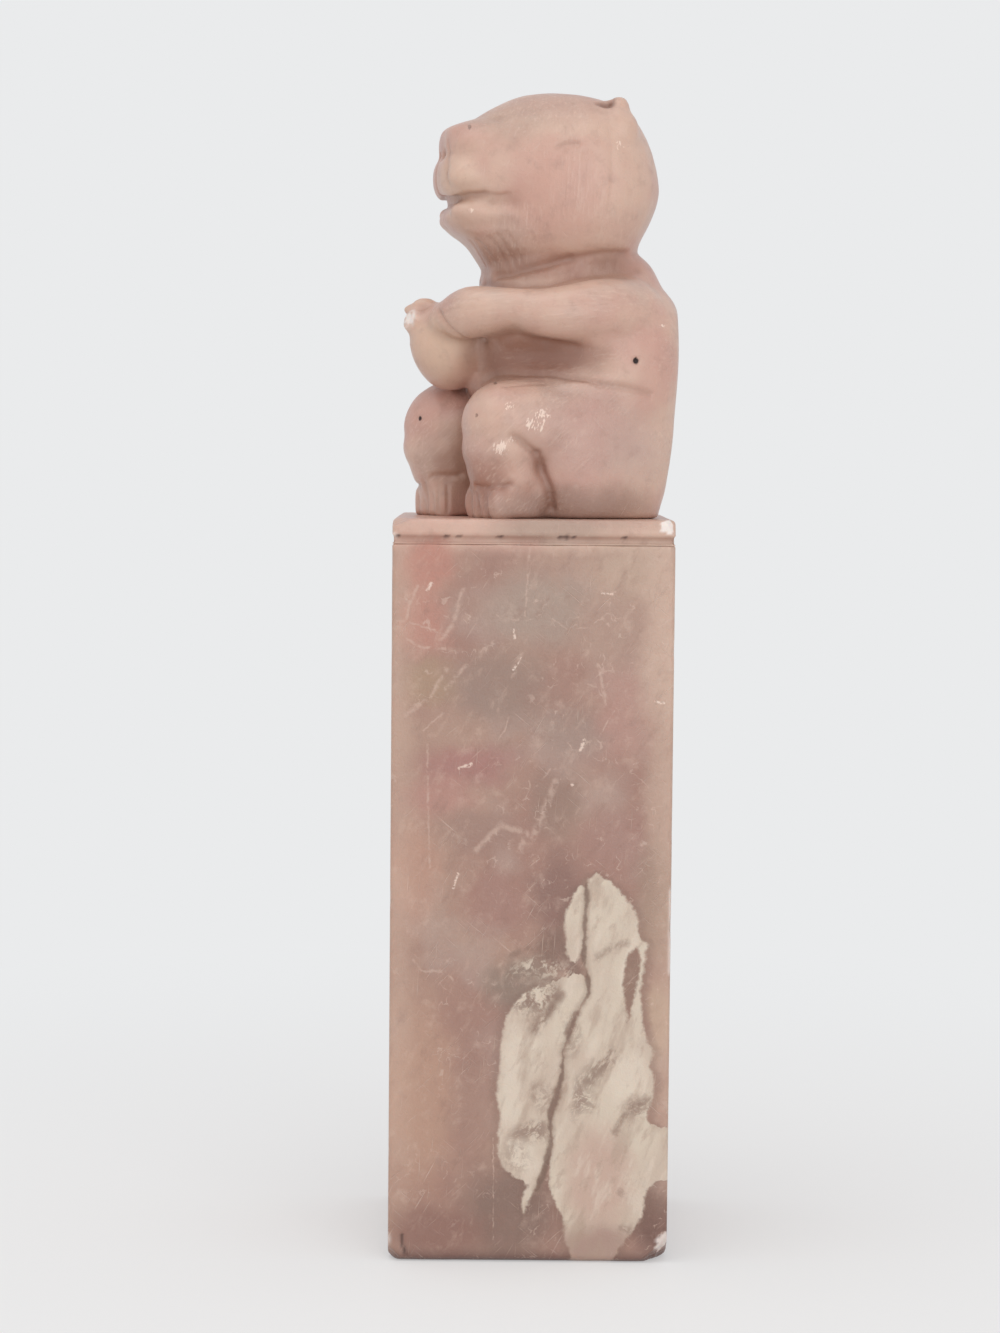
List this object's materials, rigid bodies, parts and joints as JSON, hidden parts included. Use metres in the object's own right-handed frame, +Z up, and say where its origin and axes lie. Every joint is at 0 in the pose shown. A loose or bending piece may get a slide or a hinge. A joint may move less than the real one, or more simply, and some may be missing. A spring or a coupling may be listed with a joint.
{
  "type": "seal stamp",
  "caption": "Square stone seal stamp whose top end is carved into a seated animal holding a peach, with a bare printing face inside a raised border.",
  "frame": {"origin": "middle of the printing face's border, at the lowest point of the stamp", "axes": "+Z up along the block from the printing face to the carved animal, the animal looks towards -X with its left side towards -Y"},
  "size_m": [0.02, 0.02, 0.084],
  "materials": {
    "stone": "polished soft stone, pinkish tan with cream and brown patches"
  },
  "bodies": {
    "root": {"seal_block": "stone", "ledge": "stone", "animal": "stone"}
  },
  "joints": []
}
